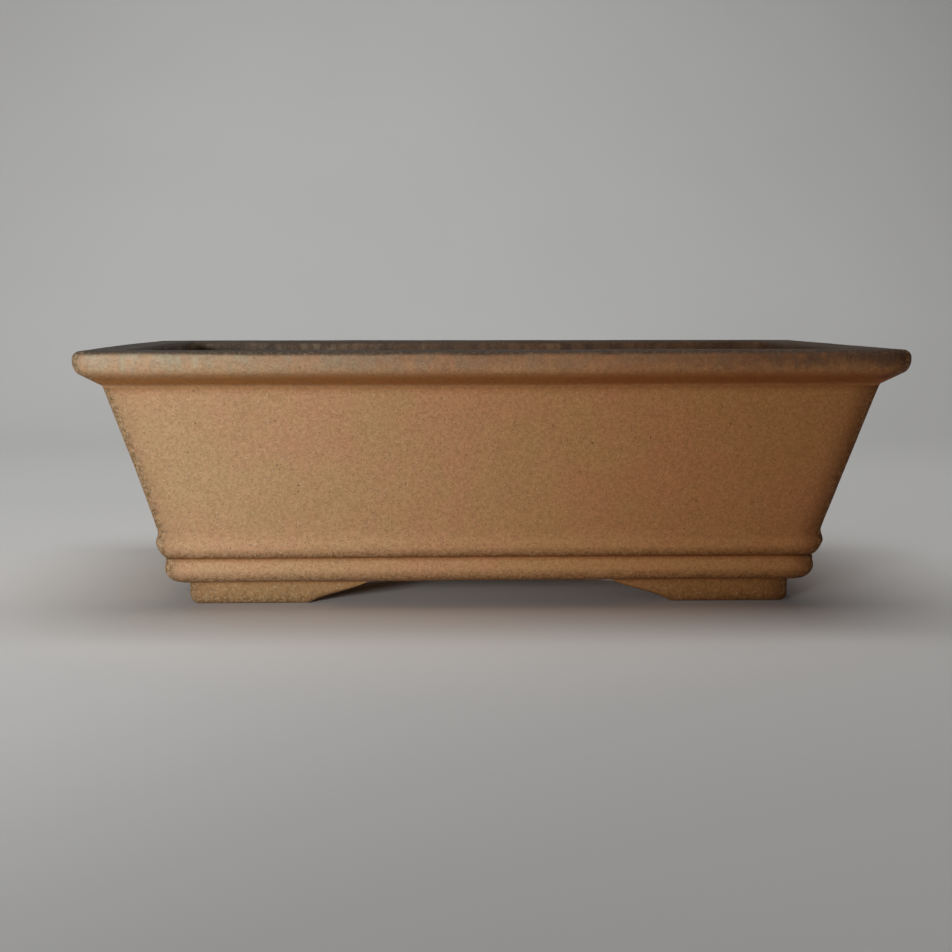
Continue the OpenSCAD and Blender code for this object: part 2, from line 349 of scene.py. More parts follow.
def marks(points):
    """The marks at each point, each from 0 to 1."""
    inset, z, skew, face = whereabouts(points)
    outside = np.where(z > WALL_TOP, 1.0, np.clip(1 - (inset - face - SKIN) / SKIN_FADE, 0, 1))
    on_corner = inset < face + CORNER_DEPTH
    inside = is_inside(inset, z, face)
    rise = np.clip((BEAD_TOP - z) / (BEAD_PEAK * (BEAD_TOP - FLOOR_TOP)), 0, 1)
    return {
        "hollow": outside * hollow_mark(inset, z),
        "arris": np.exp(-(np.clip(skew - ARRIS_CORE, 0, None) / ARRIS_FADE) ** 2) * on_corner,
        "corner_shade": np.exp(-(skew / CORNER_SHADE_REACH) ** 2) * on_corner,
        "sand_and_shade": outside * sand_and_shade_mark(inset, z),
        "inside": inside * np.clip(1 - (WALL_TOP - INSIDE_SHADE_START - z) / INSIDE_SHADE_REACH, INSIDE_SHADE_LEAST, 1),
        "proud": outside * rise * rise * (3 - 2 * rise) * (z > FLOOR_UNDER),
        "flash": np.clip((z - FLASH_START) / FLASH_SPAN, 0, 1) * ~inside,
        "top": np.clip((z - TOP_START) / TOP_SPAN, 0, 1)}


def write_marks(mesh, points):
    for name, values in marks(points).items():
        layer = mesh.attributes.new(name, "FLOAT", "POINT")
        layer.data.foreach_set("value", values.astype(np.float32))


# ---- Swept rings, cut into strips ----
SIDES = ["front", "right", "back", "left"]


def side_stations(length, depth, profile):
    """Points of one side before it is turned into place, from its left mitre to its right one."""
    inset, z, radius = profile.T
    turn = np.radians(np.linspace(45, 0, CORNER_STEPS + 1))[:, None]
    x = length / 2 - inset - radius + radius * np.sin(turn)
    y = -(depth / 2 - inset - radius + radius * np.cos(turn))
    count = round((length - 2 * WALL_FOOT_INSET) / STEP)
    t = np.linspace(-1, 1, count + 1)[1:-1, None]
    straight = (length / 2 - inset - radius) * t
    xs = np.vstack([-x, straight, x[::-1]])
    ys = np.vstack([y, np.repeat(y[-1:], count - 1, axis=0), y[::-1]])
    return np.stack([xs, ys, np.broadcast_to(z, xs.shape)], axis=-1)


def turned(points, quarter):
    c, s = [(1, 0), (0, 1), (-1, 0), (0, -1)][quarter]
    return points @ np.array([[c, s, 0], [-s, c, 0], [0, 0, 1]])


def ring_points(profile):
    """The whole ring of stations, and the station at which each side starts."""
    sides, starts = [], []
    for quarter in range(4):
        size = (2 * HALF_X, 2 * HALF_Y) if quarter % 2 == 0 else (2 * HALF_Y, 2 * HALF_X)
        starts.append(sum(len(side) for side in sides))
        sides.append(turned(side_stations(*size, profile), quarter)[:-1])
    return np.vstack(sides), starts


def quads(stations, width, closed):
    """Faces between neighbouring stations of a sweep, with outward normals."""
    k = np.arange(stations if closed else stations - 1)[:, None]
    j = np.arange(width)[None, :]
    after, beside = (k + 1) % stations, (j + 1) % width
    corners = [k * width + j, k * width + beside, after * width + beside, after * width + j]
    return np.stack(corners, axis=-1).reshape(-1, 4)


def end_caps(stations, width):
    """Faces over the first and the last station of an open sweep, with outward normals."""
    last_row = (stations - 1) * width
    return [list(range(width - 1, -1, -1)), [last_row + j for j in range(width)]]


def smooth_mesh(name, points, faces):
    mesh = bpy.data.meshes.new(name)
    mesh.from_pydata(points.tolist(), [], [list(map(int, f)) for f in faces])
    mesh.shade_smooth()
    mesh.set_sharp_from_angle(angle=SHARP)
    return mesh


def corner_normals(mesh):
    normals = np.zeros(len(mesh.loops) * 3, np.float32)
    mesh.corner_normals.foreach_get("vector", normals)
    return normals.reshape(-1, 3)


def place(name, mesh, slot):
    """Puts a piece in the scene, on the pot's body, in its node's place and in its slot's clay."""
    obj = bpy.data.objects.new(name, mesh)
    bpy.context.scene.collection.objects.link(obj)
    mesh.materials.append(CLAYS[slot])
    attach(obj, "root")
    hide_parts(name.removesuffix("_clay"))


def sharpen_cuts(mesh, width, last_row):
    """Makes the edges round a strip's cut ends sharp, so that the ends don't tilt its normals."""
    ends = np.zeros(len(mesh.edges) * 2, np.int32)
    mesh.edges.foreach_get("vertices", ends)
    ends = ends.reshape(-1, 2)
    cut = (ends < width).all(axis=1) | (ends >= last_row).all(axis=1)
    mesh.attributes.new("sharp_edge", "BOOLEAN", "EDGE").data.foreach_set("value", cut)


def strip_mesh(name, points, width, side_normals):
    """One strip cut from a ring, with the ring's normals on its sides and flat cut ends."""
    count = len(points) // width
    mesh = bpy.data.meshes.new(name)
    faces = quads(count, width, closed=False).tolist() + end_caps(count, width)
    mesh.from_pydata(points.tolist(), [], faces)
    mesh.shade_smooth()
    sharpen_cuts(mesh, width, (count - 1) * width)
    ends = [mesh.polygons[i].normal for i in (-2, -1)]
    cap_normals = [tuple(normal) for normal in ends for _ in range(width)]
    mesh.normals_split_custom_set(side_normals.tolist() + cap_normals)
    return mesh


def strips(kind, profile, slot):
    """The four strips of one ring. Their normals are the whole ring's, so that no mitre shows."""
    ring, starts = ring_points(profile)
    count, width = ring.shape[:2]
    flat = ring.reshape(-1, 3)
    moved = warp(flat)
    whole = smooth_mesh(kind, moved, quads(count, width, closed=True))
    normals = corner_normals(whole).reshape(count, -1, 3)
    bpy.data.meshes.remove(whole)
    for side, first, last in zip(SIDES, starts, starts[1:] + [count]):
        used = np.arange(first * width, (last + 1) * width) % (count * width)
        own_normals = normals[first:last].reshape(-1, 3)
        mesh = strip_mesh(f"{kind}_{side}", moved[used], width, own_normals)
        write_marks(mesh, flat[used])
        place(f"{kind}_{side}_clay", mesh, slot)


# ---- Feet ----
CLOUD = np.array([[0, 0.06], [0.2, 0.45], [0.75, 0.6], [1, 1]])     # control points of the cut
FOOT_FRONT_CURVE = 23 * MM
FOOT_SIDE_CURVE = 18 * MM
FOOT_INNER_CORNER = 0.8 * MM
CURVE_STEPS = 26
FLAT_STEPS = 32


def cloud():
    """The cloud cut from an arm's tip: [share of the cut's length, share of the foot's height]."""
    t = np.linspace(0, 1, CURVE_STEPS + 1)[:, None]
    return ((1 - t) ** 3 * CLOUD[0] + 3 * t * (1 - t) ** 2 * CLOUD[1]
            + 3 * t * t * (1 - t) * CLOUD[2] + t ** 3 * CLOUD[3])


def arm(tip, cut, corners):
    """Places of the profile's points from an arm's tip to their corners, and the height's share."""
    outline = cloud()
    flat = np.linspace(0, 1, FLAT_STEPS + 1)[1:-1, None]
    curved = np.repeat(tip + cut * outline[:, :1], len(corners), axis=1)
    straight = tip + cut + flat * (corners - tip - cut)
    return np.vstack([curved, straight]), np.concatenate([outline[:, 1], np.ones(len(flat))])


def foot_points():
    """Stations of the front right foot, from the front arm's tip round the corner to the side's."""
    inset, z, radius = foot_profile().T
    drop = FLOOR_UNDER - z
    bend = np.maximum(radius - (inset - FOOT_INSET), FOOT_INNER_CORNER)
    corner_x, corner_y = HALF_X - inset - bend, HALF_Y - inset - bend
    rows = []
    for places, share in zip(*arm(FOOT_REACH_X, FOOT_FRONT_CURVE, corner_x)):
        rows.append(np.column_stack([places, inset - HALF_Y, FLOOR_UNDER - drop * share]))
    for a in np.radians(np.linspace(0, 90, 2 * CORNER_STEPS + 1)):
        rows.append(np.column_stack([corner_x + bend * np.sin(a), -corner_y - bend * np.cos(a), z]))
    side = list(zip(*arm(FOOT_REACH_Y, FOOT_SIDE_CURVE, corner_y)))
    for places, share in reversed(side):
        rows.append(np.column_stack([HALF_X - inset, -places, FLOOR_UNDER - drop * share]))
    return np.array(rows)


def feet():
    stations = foot_points()
    count, width = stations.shape[:2]
    faces = quads(count, width, closed=False).tolist() + end_caps(count, width)
    mirrored = [face[::-1] for face in faces]
    for x_name, x_sign in (("left", -1), ("right", 1)):
        for y_name, y_sign in (("front", 1), ("back", -1)):
            name = f"foot_{y_name}_{x_name}"
            flat = stations.reshape(-1, 3) * (x_sign, y_sign, 1)
            mesh = smooth_mesh(name, warp(flat), faces if x_sign == y_sign else mirrored)
            write_marks(mesh, flat)
            place(f"{name}_clay", mesh, "foot_clay")


# ---- Floor slab: a grid of cells with a patch round each hole ----
CELL = 3 * MM
DRAIN_PATCH = 7             # cells from a drain hole's centre to the edge of its patch
WIRE_PATCH = 3
HOLE_ROUND = 1.3 * MM
LIP_STEPS = 5               # facets of a hole's rounded lip
EDGE_LEVELS = 4
SNAP = 1e-6                 # points of the slab that are closer than this are one


def holes():
    """[x, y, radius, patch] of each hole, from the record's mounts."""
    found = []
    for mount in frame["record"]["mounts"]:
        x, y = mount["pos_m"][:2]
        dims = mount["dims"]
        if mount["kind"] == "bore":
            found.append((x, y, dims["r_mm"] * MM, DRAIN_PATCH))
        if mount["kind"] == "bolt_pattern":
            reach_x, reach_y = dims["spacing_x_mm"] * MM / 2, dims["spacing_y_mm"] * MM / 2
            found += [(x + sx * reach_x, y + sy * reach_y, dims["hole_r_mm"] * MM, WIRE_PATCH)
                      for sx in (-1, 1) for sy in (-1, 1)]
    return found


def grid_lines(half):
    inner = np.arange(-math.floor(half / CELL), math.floor(half / CELL) + 1) * CELL
    inner = inner[np.abs(inner) < half - CELL / 2]
    return np.concatenate([[-half], inner, [half]])


SLAB_X, SLAB_Y = HALF_X - FLOOR_INSET, HALF_Y - FLOOR_INSET
CORNER_CUT = BODY_CORNER * (1 - math.sqrt(0.5))


def slab_place(x, y):
    """A grid point's place on the slab, whose corners are cut back to fit the band's round ones."""
    if abs(x) > SLAB_X - SNAP and abs(y) > SLAB_Y - SNAP:
        return x - math.copysign(CORNER_CUT, x), y - math.copysign(CORNER_CUT, y)
    return x, y


class Slab:
    """Collects the slab's points and faces. A point is found again by its place."""

    def __init__(self):
        self.points, self.faces, self.index = [], [], {}

    def point(self, x, y, z):
        key = (round(x / SNAP), round(y / SNAP), round(z / SNAP))
        if key not in self.index:
            self.index[key] = len(self.points)
            self.points.append((x, y, z))
        return self.index[key]

    def face(self, corners, flip=False):
        ids = [self.point(*c) for c in corners]
        self.faces.append(ids[::-1] if flip else ids)

    def band(self, upper, lower, flip=False):
        """Faces between two closed loops of points."""
        for k in range(len(upper)):
            n = (k + 1) % len(upper)
            self.face([upper[k], lower[k], lower[n], upper[n]], flip)

    def sheet(self, z, xs, ys, drilled, flip):
        """The grid's cells at one height, apart from the patches round the holes."""
        for x0, x1 in zip(xs, xs[1:]):
            for y0, y1 in zip(ys, ys[1:]):
                mid_x, mid_y = (x0 + x1) / 2, (y0 + y1) / 2
                if any(max(abs(mid_x - x), abs(mid_y - y)) < patch * CELL
                       for x, y, _, patch in drilled):
                    continue
                corners = ((x0, y0), (x1, y0), (x1, y1), (x0, y1))
                self.face([(*slab_place(x, y), z) for x, y in corners], flip)

    def patch(self, z, hole, flip):
        """The faces between a patch's square edge and the lip of its hole."""
        loops = hole_rings(*hole)[0]
        for outer, inner in zip(loops, loops[1:]):
            self.band([(*q, z) for q in outer], [(*q, z) for q in inner], not flip)

    def bore(self, x, y, radius, patch):
        """The bore, with a rounded lip above and below."""
        lip = hole_rings(x, y, radius, patch)[1]
        section = [(HOLE_ROUND * (1 - math.sin(a)), FLOOR_TOP - HOLE_ROUND * (1 - math.cos(a)))
                   for a in np.radians(np.linspace(0, 90, LIP_STEPS + 1))]
        section += [(out, FLOOR_TOP + FLOOR_UNDER - z) for out, z in section[::-1]]
        loops = [[(px + (px - x) * out / radius, py + (py - y) * out / radius, z) for px, py in lip]
                 for out, z in section]
        for upper, lower in zip(loops, loops[1:]):
            self.band(upper, lower, flip=True)

    def edge(self, xs, ys):
        """The slab's four edges."""
        loop = [(x, ys[0]) for x in xs[:-1]] + [(xs[-1], y) for y in ys[:-1]]
        loop += [(x, ys[-1]) for x in xs[:0:-1]] + [(xs[0], y) for y in ys[:0:-1]]
        loop = [slab_place(*q) for q in loop]
        levels = np.linspace(FLOOR_TOP, FLOOR_UNDER, EDGE_LEVELS)
        for upper, lower in zip(levels, levels[1:]):
            self.band([(*q, upper) for q in loop], [(*q, lower) for q in loop])


def square_loop(x, y, patch):
    """Grid points round a patch, anticlockwise from its right-hand side's lower end."""
    ahead, back = range(-patch, patch), range(patch, -patch, -1)
    steps = [(patch, k) for k in ahead] + [(k, patch) for k in back]
    steps += [(-patch, k) for k in back] + [(k, -patch) for k in ahead]
    return [(x + i * CELL, y + j * CELL) for i, j in steps]


def hole_rings(x, y, radius, patch):
    """Loops from the patch's square edge in to the hole's rounded lip, and the bore's circle."""
    square = square_loop(x, y, patch)
    circle = [(x + radius * math.cos(a), y + radius * math.sin(a))
              for a in (math.atan2(q[1] - y, q[0] - x) for q in square)]
    loops = []
    for t in np.linspace(0, 1, patch + 1):
        loops.append([(sx + (cx + (cx - x) * HOLE_ROUND / radius - sx) * t,
                       sy + (cy + (cy - y) * HOLE_ROUND / radius - sy) * t)
                      for (sx, sy), (cx, cy) in zip(square, circle)])
    return loops, circle


def floor():
    slab = Slab()
    xs, ys, drilled = grid_lines(SLAB_X), grid_lines(SLAB_Y), holes()
    for z, flip in ((FLOOR_TOP, False), (FLOOR_UNDER, True)):
        slab.sheet(z, xs, ys, drilled, flip)
        for hole in drilled:
            slab.patch(z, hole, flip)
    for hole in drilled:
        slab.bore(*hole)
    slab.edge(xs, ys)
    flat = np.array(slab.points)
    mesh = smooth_mesh("floor_slab", warp(flat), slab.faces)
    write_marks(mesh, flat)
    place("floor_slab_clay", mesh, "body_clay")


# ---- Clay ----

class Shader:
    """Short names for the nodes that the clays are made of."""

    def __init__(self, name):
        self.material = bpy.data.materials.new(name)
        self.material.use_nodes = True
        self.tree = self.material.node_tree
        self.principled = self.tree.nodes["Principled BSDF"]
        self.place = self.tree.nodes.new("ShaderNodeTexCoord").outputs["Object"]

    def node(self, kind, **settings):
        node = self.tree.nodes.new(kind)
        for key, value in settings.items():
            setattr(node, key, value)
        return node

    def feed(self, socket, value):
        if isinstance(value, bpy.types.NodeSocket):
            self.tree.links.new(value, socket)
        else:
            socket.default_value = value

    def mark(self, name):
        return self.node("ShaderNodeAttribute", attribute_name=name).outputs["Fac"]

    def along(self):
        """Distance along the pot, from -HALF_X on the left to HALF_X on the right."""
        split = self.node("ShaderNodeSeparateXYZ")
        self.feed(split.inputs["Vector"], self.place)
        return split.outputs["X"]

    def shifted(self, offset, stretch=(1, 1, 1)):
        node = self.node("ShaderNodeMapping")
        self.feed(node.inputs["Vector"], self.place)
        node.inputs["Location"].default_value = offset
        node.inputs["Scale"].default_value = stretch
        return node.outputs["Vector"]

    def noise(self, size, detail, rough, vector=None):
        node = self.node("ShaderNodeTexNoise")
        self.feed(node.inputs["Vector"], vector or self.place)
        node.inputs["Scale"].default_value = 1 / size
        node.inputs["Detail"].default_value = detail
        node.inputs["Roughness"].default_value = rough
        return node.outputs["Fac"]

    def cells(self, size, vector=None):
        """Distance to the nearest grain, and a random value for that grain."""
        node = self.node("ShaderNodeTexVoronoi")
        self.feed(node.inputs["Vector"], vector or self.place)
        node.inputs["Scale"].default_value = 1 / size
        split = self.node("ShaderNodeSeparateColor")
        self.feed(split.inputs["Color"], node.outputs["Color"])
        return node.outputs["Distance"], split.outputs["Red"]

    def math(self, operation, a, b, clamp=False):
        node = self.node("ShaderNodeMath", operation=operation, use_clamp=clamp)
        self.feed(node.inputs[0], a)
        self.feed(node.inputs[1], b)
        return node.outputs["Value"]

    def between(self, value, low, high, to_low=0.0, to_high=1.0):
        """value carried from low..high to to_low..to_high, smoothly and clamped."""
        node = self.node("ShaderNodeMapRange", interpolation_type="SMOOTHSTEP")
        for key, number in (("Value", value), ("From Min", low), ("From Max", high),
                            ("To Min", to_low), ("To Max", to_high)):
            self.feed(node.inputs[key], number)
        return node.outputs["Result"]

    def mix(self, share, a, b, blend="MIX"):
        node = self.node("ShaderNodeMix", data_type="RGBA", blend_type=blend)
        self.feed(node.inputs["Factor"], share)
        for socket, value in ((node.inputs[6], a), (node.inputs[7], b)):
            self.feed(socket, (*value, 1) if isinstance(value, tuple) else value)
        return node.outputs[2]

    def tint(self, colour, factor):
        return self.mix(1.0, colour, factor, "MULTIPLY")

    def bump(self, height, distance, strength, before=None):
        node = self.node("ShaderNodeBump")
        node.inputs["Distance"].default_value = distance
        self.feed(node.inputs["Strength"], strength)
        self.feed(node.inputs["Height"], height)
        if before is not None:
            self.feed(node.inputs["Normal"], before)
        return node.outputs["Normal"]


# Base colours, linear. SCRAPED, the painted shade tints of the corners and the undersides, the
# STREAKs, GRAINs and TONEs multiply
BODY_PINK, BODY_YELLOW = (0.470, 0.248, 0.121), (0.444, 0.270, 0.115)
RIM_PINK, RIM_YELLOW = (0.46, 0.255, 0.122), (0.45, 0.285, 0.128)
FOOT_PINK, FOOT_YELLOW = (0.40, 0.215, 0.088), (0.37, 0.222, 0.080)
SCRAPED = (1.12, 1.15, 1.18)
# Painted shade on the corners, deepest on the right
CORNER_SHADE_TINT = (0.32, 0.24, 0.18)
# Painted shade under the mouldings and wherever the coarse sand lies
UNDERSIDE_SHADE = (0.64, 0.57, 0.48)
STREAK_PINK, STREAK_PALE = (1.06, 0.93, 0.88), (0.99, 1.10, 1.12)
GRAIN_DARK, GRAIN_LIGHT = (0.87, 0.85, 0.83), (1.10, 1.10, 1.11)
# Greyer on the left, darker and more orange on the right: partly the clay's colour, partly painted
# shade
TONE_LEFT, TONE_RIGHT = (0.98, 1.06, 1.20), (0.97, 0.72, 0.50)
# Inside the pot: a browner clay, darkened as painted shade
INSIDE_SHADE_BROWN = (0.044, 0.028, 0.017)
# Flashing colours along the rim; their darkening to the right is partly painted shade
FLASH_LEFT = (0.40, 0.30, 0.180)
FLASH_MIDDLE = (0.30, 0.172, 0.094)
FLASH_RIGHT = (0.090, 0.058, 0.058)
FLASH_DARK = (0.055, 0.038, 0.024)
# Painted shade in the cove under the rim and in the grooves
HOLLOW_SHADE_BROWN = (0.25, 0.086, 0.012)
ARRIS_OLIVE = (0.160, 0.086, 0.028)
SAND_PALE = (0.32, 0.215, 0.11)
GROG_PALE = (0.62, 0.46, 0.28)
PIT_BROWN = (0.25, 0.137, 0.060)
IRON_DARK = (0.045, 0.028, 0.018)

# Sizes of what the clay shows, and depths of its relief
PATCH, PUFF, WIPE, SMOKE, STREAK = 34 * MM, 6 * MM, 9 * MM, 22 * MM, 4.5 * MM
SAND, CLUMP, GRAIN, FLECK = 1.0 * MM, 1.3 * MM, 0.7 * MM, 1.5 * MM
PIT, GROG, IRON = 0.8 * MM, 0.85 * MM, 3.6 * MM
SCRAPE, SCRAPE_DEPTH, SCRAPE_STRENGTH = 3.2 * MM, 0.35 * MM, 0.35
TOOTH, TOOTH_DEPTH = 0.62 * MM, 0.10 * MM
SAND_DEPTH = 0.16 * MM
SPECK_DEPTH, SPECK_STRENGTH = 0.12 * MM, 0.8

# Shares and strengths
USUAL = (0.3, 0.7)          # the range that most values of a noise lie in
PATCH_SHARE = 0.6           # how much of the body's hue the patches decide, against the clouds
GRAIN_SHARE, FLECK_SHARE = 0.48, 0.52
FLASH_SMOKE, FLASH_STREAK, TOP_SMOKE = 0.22, 0.26, 0.15     # how far each noise moves the flashing
FLASH_MOST = 0.88
FLASH_RIGHT_START = 0.25 * HALF_X
# Most of the painted shade in the cove and the grooves
HOLLOW_SHADE_MOST = 0.9
CORNER_SHADE_LEFT, CORNER_SHADE_MORE = 0.25, 0.7        # painted shade on the left corners, and what the right ones add
# Most painted shade under the mouldings, and the share of the sand mark that is worn sand
UNDERSIDE_SHADE_MOST, SANDY_WORN = 0.6, 0.85
FLASH_HIDES_GROG = 0.8
SPECULAR = 0.32
ROUGHNESS_SPREAD = 0.06


def body_colour(s, pink, yellow):
    """Pinkish and yellowish patches with finer clouds in them, lighter where scraped proud."""
    patches = s.between(s.noise(PATCH, 3, 0.55), 0.36, 0.64)
    clouds = s.between(s.noise(PUFF, 3, 0.6, s.shifted((0.3, 0.1, 0), (1, 1, 0.6))), *USUAL)
    share = s.math("ADD", s.math("MULTIPLY", patches, PATCH_SHARE),
                   s.math("MULTIPLY", clouds, 1 - PATCH_SHARE))
    colour = s.mix(share, pink, yellow)
    return s.mix(s.mark("proud"), colour, s.tint(colour, SCRAPED))


def inside_colour(s, colour):
    """Inside the pot the clay is browner and darkened by painted shade, unevenly in wiped streaks.
    """
    wiped = s.noise(WIPE, 4, 0.65, s.shifted((0, 0, 0.2), (1, 1, 0.25)))
    share = s.math("MULTIPLY", s.mark("inside"), s.between(wiped, 0.3, 0.75, 0.84, 1.0))
    return s.mix(share, colour, INSIDE_SHADE_BROWN)


def flashed_colour(s, colour, smoke):
    """Kiln flashing, ash grey to brown: deepest on the top, streaky on the nose, darker right,
    which is partly painted shade.
    """
    streaks = s.noise(STREAK, 3, 0.6, s.shifted((0, 0.4, 0), (1, 1, 0.5)))
    along = s.along()
    ash = s.mix(s.between(along, -HALF_X, 0), FLASH_LEFT, FLASH_MIDDLE)
    ash = s.mix(s.between(along, FLASH_RIGHT_START, HALF_X), ash, FLASH_RIGHT)
    ash = s.tint(ash, s.mix(s.between(streaks, 0.38, 0.62), STREAK_PINK, STREAK_PALE))
    level = s.math("ADD", s.mark("flash"), s.between(smoke, *USUAL, -FLASH_SMOKE, FLASH_SMOKE))
    level = s.math("ADD", level, s.between(streaks, *USUAL, -FLASH_STREAK, FLASH_STREAK))
    colour = s.mix(s.between(level, -0.25, 1.0, 0, FLASH_MOST), colour, ash)
    top = s.math("ADD", s.mark("top"), s.between(smoke, *USUAL, -TOP_SMOKE, TOP_SMOKE))
    return s.mix(s.between(top, 0.2, 0.8), colour, FLASH_DARK)


def painted_shade_colour(s, colour, across):
    """Painted shade: in the cove and the grooves, on the corners (more on the right) and under the
    mouldings.
    """
    colour = s.mix(s.math("MULTIPLY", s.mark("hollow"), HOLLOW_SHADE_MOST), colour, HOLLOW_SHADE_BROWN)
    corner_shade_share = s.math("ADD", s.math("MULTIPLY", across, CORNER_SHADE_MORE), CORNER_SHADE_LEFT)
    colour = s.mix(s.math("MULTIPLY", s.mark("corner_shade"), corner_shade_share), colour, s.tint(colour, CORNER_SHADE_TINT))
    share = s.math("MULTIPLY", s.mark("sand_and_shade"), UNDERSIDE_SHADE_MOST)
    return s.mix(share, colour, s.tint(colour, UNDERSIDE_SHADE))


def coarse_sand(s):
    """Sand on arrises and undersides: where it is worn free, where it shows, colour, height."""
    near, kind = s.cells(SAND, s.shifted((0.9, 0.4, 0.1)))
    clumps = s.between(s.noise(CLUMP, 3, 0.75), 0.4, 0.58, 0.08, 0.95)
    worn = s.math("MAXIMUM", s.mark("arris"), s.math("MULTIPLY", s.mark("sand_and_shade"), SANDY_WORN))
    colour = s.mix(s.between(kind, 0.4, 0.9), ARRIS_OLIVE, SAND_PALE)
    return worn, s.math("MULTIPLY", worn, clumps), colour, s.between(near, 0.1, 0.6, 1, 0)


def grained_colour(s, colour):
    """Soft flecks and fine grain all over."""
    fine = s.math("MULTIPLY", s.noise(GRAIN, 2, 0.7), GRAIN_SHARE)
    flecks = s.math("MULTIPLY", s.noise(FLECK, 2, 0.6, s.shifted((0.2, 0.6, 0))), FLECK_SHARE)
    return s.tint(colour, s.mix(s.between(s.math("ADD", fine, flecks), 0.38, 0.62),
                                GRAIN_DARK, GRAIN_LIGHT))


def specks(s, size, radii, rarity, strength, vector=None):
    """Round specks, full inside the first radius and gone outside the second.

    Each grain has a random value. It shows from rarity's first value on, and fully at its second.
    """
    near, kind = s.cells(size, vector)
    return s.math("MULTIPLY", s.between(near, *radii, 1, 0), s.between(kind, *rarity, 0, strength))


def clean_clay(s, across):
    """Where pale grog can show: not on flashing, nor in the painted shade of the cove, the grooves
    and the corners (more on the right), nor inside.
    """
    flashed_and_shaded = s.math("MAXIMUM", s.math("MULTIPLY", s.mark("flash"), FLASH_HIDES_GROG),
                     s.math("MAXIMUM", s.mark("hollow"), s.mark("inside")))
    flashed_and_shaded = s.math("MAXIMUM", flashed_and_shaded, s.math("MULTIPLY", s.mark("corner_shade"), across))
    return s.math("SUBTRACT", 1.0, flashed_and_shaded, clamp=True)


def speckled_colour(s, colour, coarse, across):
    """Pits, pale grog and dark iron over the colour, and the relief that they make."""
    pits = specks(s, PIT, (0.2, 0.36), (0.64, 0.8), 0.8, s.shifted((0.1, 0.8, 0.3)))
    grog = specks(s, GROG, (0.22, 0.38), (0.72 - 0.1 * coarse, 0.86), 0.58)
    grog = s.math("MULTIPLY", grog, clean_clay(s, across))
    iron = specks(s, IRON, (0.06, 0.11), (0.6, 0.95), 0.75, s.shifted((0.5, 0.2, 0.9)))
    for share, shade in ((pits, PIT_BROWN), (grog, GROG_PALE), (iron, IRON_DARK)):
        colour = s.mix(share, colour, shade)
    return colour, s.math("SUBTRACT", grog, s.math("ADD", iron, pits))


def relief(s, worn, shown, sand_height, speck_height, coarse):
    """The scraped surface, its tooth, and grains that stand out or fell out."""
    rough = s.math("ADD", worn, s.math("MULTIPLY", s.mark("hollow"), 0.5))
    rough = s.math("ADD", rough, coarse)
    tooth = s.math("ADD", s.math("MULTIPLY", rough, 0.5), 0.55)
    normal = s.bump(s.noise(SCRAPE, 4, 0.6), SCRAPE_DEPTH, SCRAPE_STRENGTH)
    normal = s.bump(s.noise(TOOTH, 3, 0.75), TOOTH_DEPTH, tooth, normal)
    normal = s.bump(sand_height, SAND_DEPTH, shown, normal)
    return s.bump(speck_height, SPECK_DEPTH, SPECK_STRENGTH, normal)


def clay(name, pink, yellow, flashed=False, coarse=0.0, roughness=0.82):
    """Sandy stoneware, greyer on the left, darker and more orange on the right, partly as painted
    shade. coarse adds grog and tooth.
    """
    s = Shader(name)
    across = s.between(s.along(), -HALF_X, HALF_X)
    smoke = s.noise(SMOKE, 4, 0.62, s.shifted((0.7, 0, 0), (0.55, 1, 1.6)))
    colour = inside_colour(s, body_colour(s, pink, yellow))
    if flashed:
        colour = flashed_colour(s, colour, smoke)
    worn, shown, sand_colour, sand_height = coarse_sand(s)
    colour = s.mix(shown, painted_shade_colour(s, colour, across), sand_colour)
    colour, speck_height = speckled_colour(s, grained_colour(s, colour), coarse, across)
    # Partly painted shade: darker and more orange towards the right
    colour = s.tint(colour, s.mix(across, TONE_LEFT, TONE_RIGHT))
    s.feed(s.principled.inputs["Base Color"], colour)
    normal = relief(s, worn, shown, sand_height, speck_height, coarse)
    s.feed(s.principled.inputs["Normal"], normal)
    dull = s.between(smoke, *USUAL, roughness - ROUGHNESS_SPREAD, roughness + ROUGHNESS_SPREAD)
    s.feed(s.principled.inputs["Roughness"], dull)
    s.principled.inputs["Specular IOR Level"].default_value = SPECULAR
    return s.material


CLAYS = {
    "body_clay": clay("body_clay", BODY_PINK, BODY_YELLOW),
    "moulding_clay": clay("moulding_clay", BODY_PINK, BODY_YELLOW, coarse=0.25),
    "rim_clay": clay("rim_clay", RIM_PINK, RIM_YELLOW, flashed=True, roughness=0.70),
    "foot_clay": clay("foot_clay", FOOT_PINK, FOOT_YELLOW, coarse=0.9),
}


# ---- Stage: a pale floor that rises into a backdrop, soft light and the camera ----
FLOOR_PALE = (0.70, 0.70, 0.69)
FLOOR_PALER = tuple(c * 1.03 for c in FLOOR_PALE)
FLOOR_CLOUD = 0.4
FLOOR_ROUGHNESS = 0.9
SWEEP_FRONT = -2.5
SWEEP_BACK = 0.7
SWEEP_RADIUS = 1.1
SWEEP_HALF_WIDTH = 3.0
SWEEP_HEIGHT = 3.0
SWEEP_POINTS = 25


def paper():
    s = Shader("studio_paper")
    clouds = s.between(s.noise(FLOOR_CLOUD, 2, 0.5), *USUAL)
    s.feed(s.principled.inputs["Base Color"], s.mix(clouds, FLOOR_PALE, FLOOR_PALER))
    s.principled.inputs["Roughness"].default_value = FLOOR_ROUGHNESS
    return s.material


